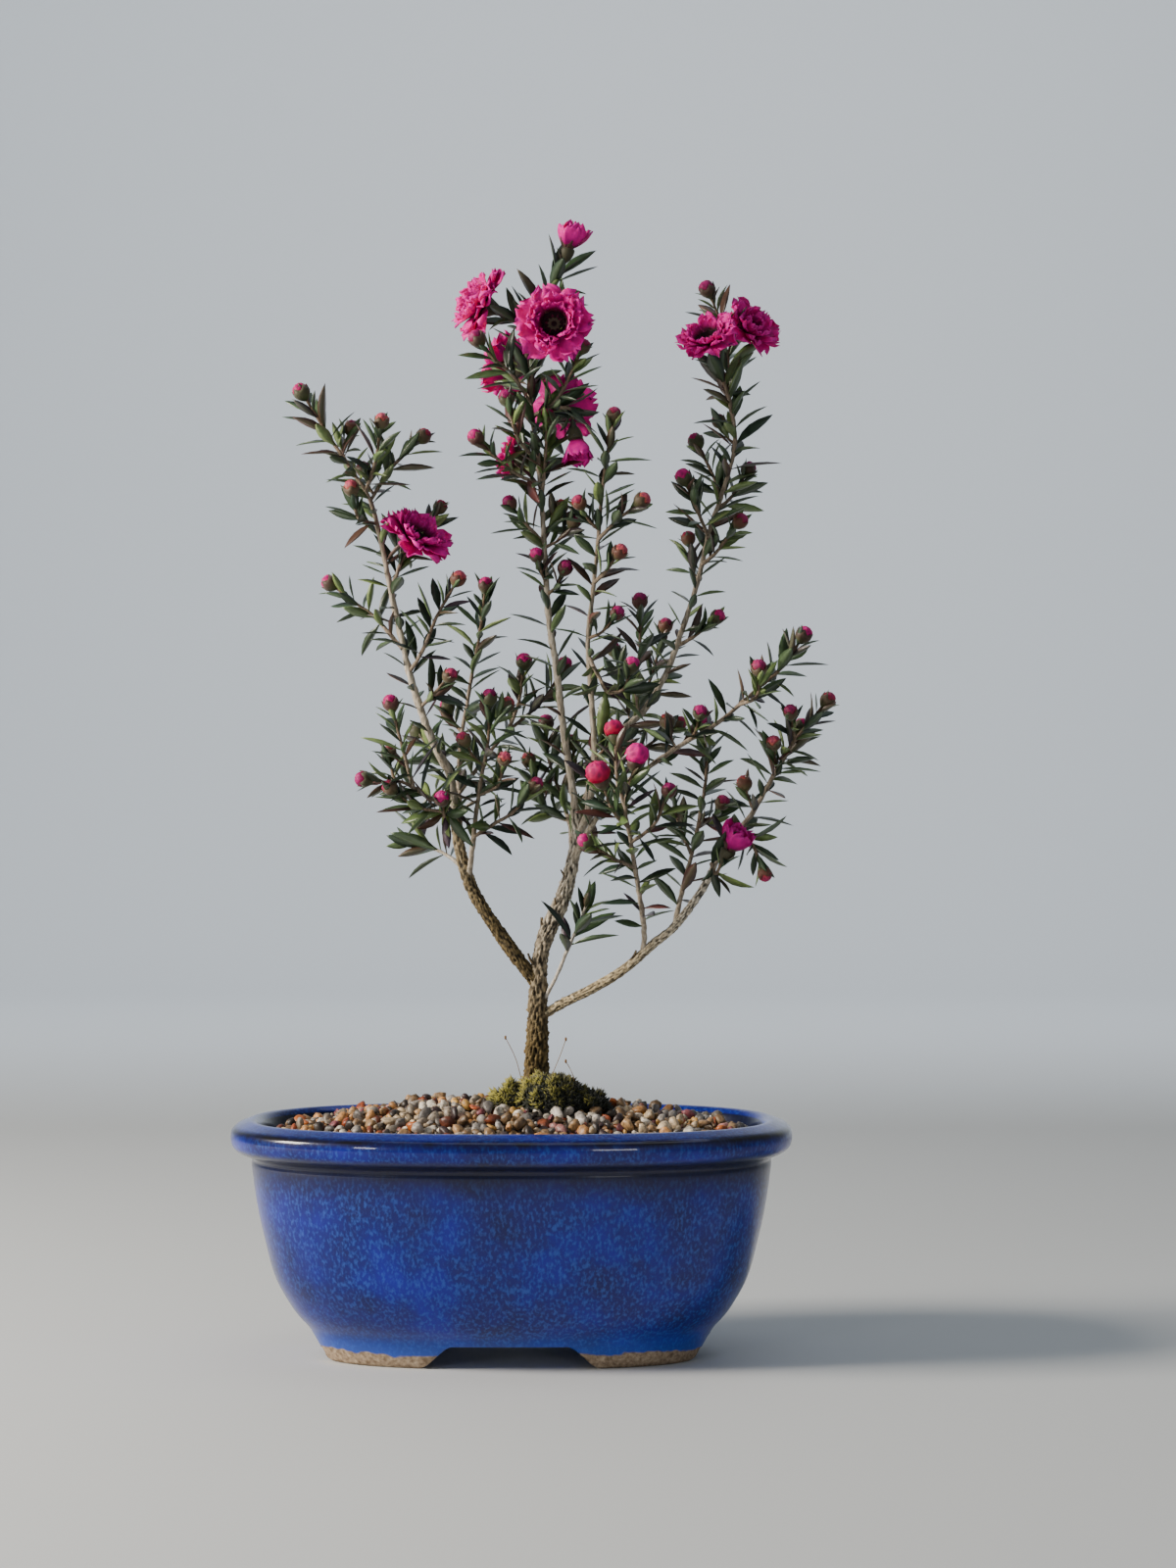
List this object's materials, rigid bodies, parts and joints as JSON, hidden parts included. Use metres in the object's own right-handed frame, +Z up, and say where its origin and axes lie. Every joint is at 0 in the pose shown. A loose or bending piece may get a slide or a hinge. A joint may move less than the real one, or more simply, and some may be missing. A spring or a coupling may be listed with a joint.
{
  "type": "burgundy queen tea tree bonsai",
  "caption": "Small flowering tea tree with a forked trunk, narrow leaves, buds and double blooms, planted in gravel and moss in an oval glazed pot on four feet.",
  "frame": {"origin": "middle of the bounding box in plan, on the plane the feet stand on", "axes": "+Z up along the tree, +X to the right and +Y to the back as the pot's long side is seen from the front"},
  "size_m": [0.1666, 0.101, 0.3093],
  "materials": {
    "blue_glaze": "glossy cobalt glaze with lighter flecks, brown where it breaks on the rim",
    "black_plastic": "moulded mesh",
    "potting_mix": "loose gritty potting mix with roots",
    "pebbles": "mixed tan, rust, grey and cream pebbles",
    "moss": "dense cushion moss, matt",
    "bark": "fissured tan and grey bark",
    "leaves": "thin woody twigs with narrow satin leaves and pink-topped buds",
    "petals": "soft magenta-crimson petals with a dark disc"
  },
  "bodies": {
    "root": {"pot": "blue_glaze", "drain_screen": "black_plastic", "soil": "potting_mix", "gravel": "pebbles", "moss": "moss", "trunk": "bark", "branch_leader": "leaves", "branch_centre": "leaves", "branch_right_top": "leaves", "branch_right_middle": "leaves", "branch_front": "leaves", "branch_right_inner": "leaves", "branch_right_low": "leaves", "branch_left_top": "leaves", "branch_left_inner": "leaves", "branch_left_back": "leaves", "branch_left_low": "leaves", "branch_left_lowest": "leaves", "twig_trunk": "leaves", "branch_back": "leaves", "branch_back_right": "leaves", "bloom_top_front": "petals", "bloom_top_left": "petals", "bloom_back_left": "petals", "bloom_back_right": "petals", "bloom_drooping": "petals", "bloom_inner": "petals", "bloom_left": "petals", "bloom_right_front": "petals", "bloom_right_back": "petals", "bloom_low_right": "petals", "bud_opening_top": "petals"}
  },
  "joints": []
}
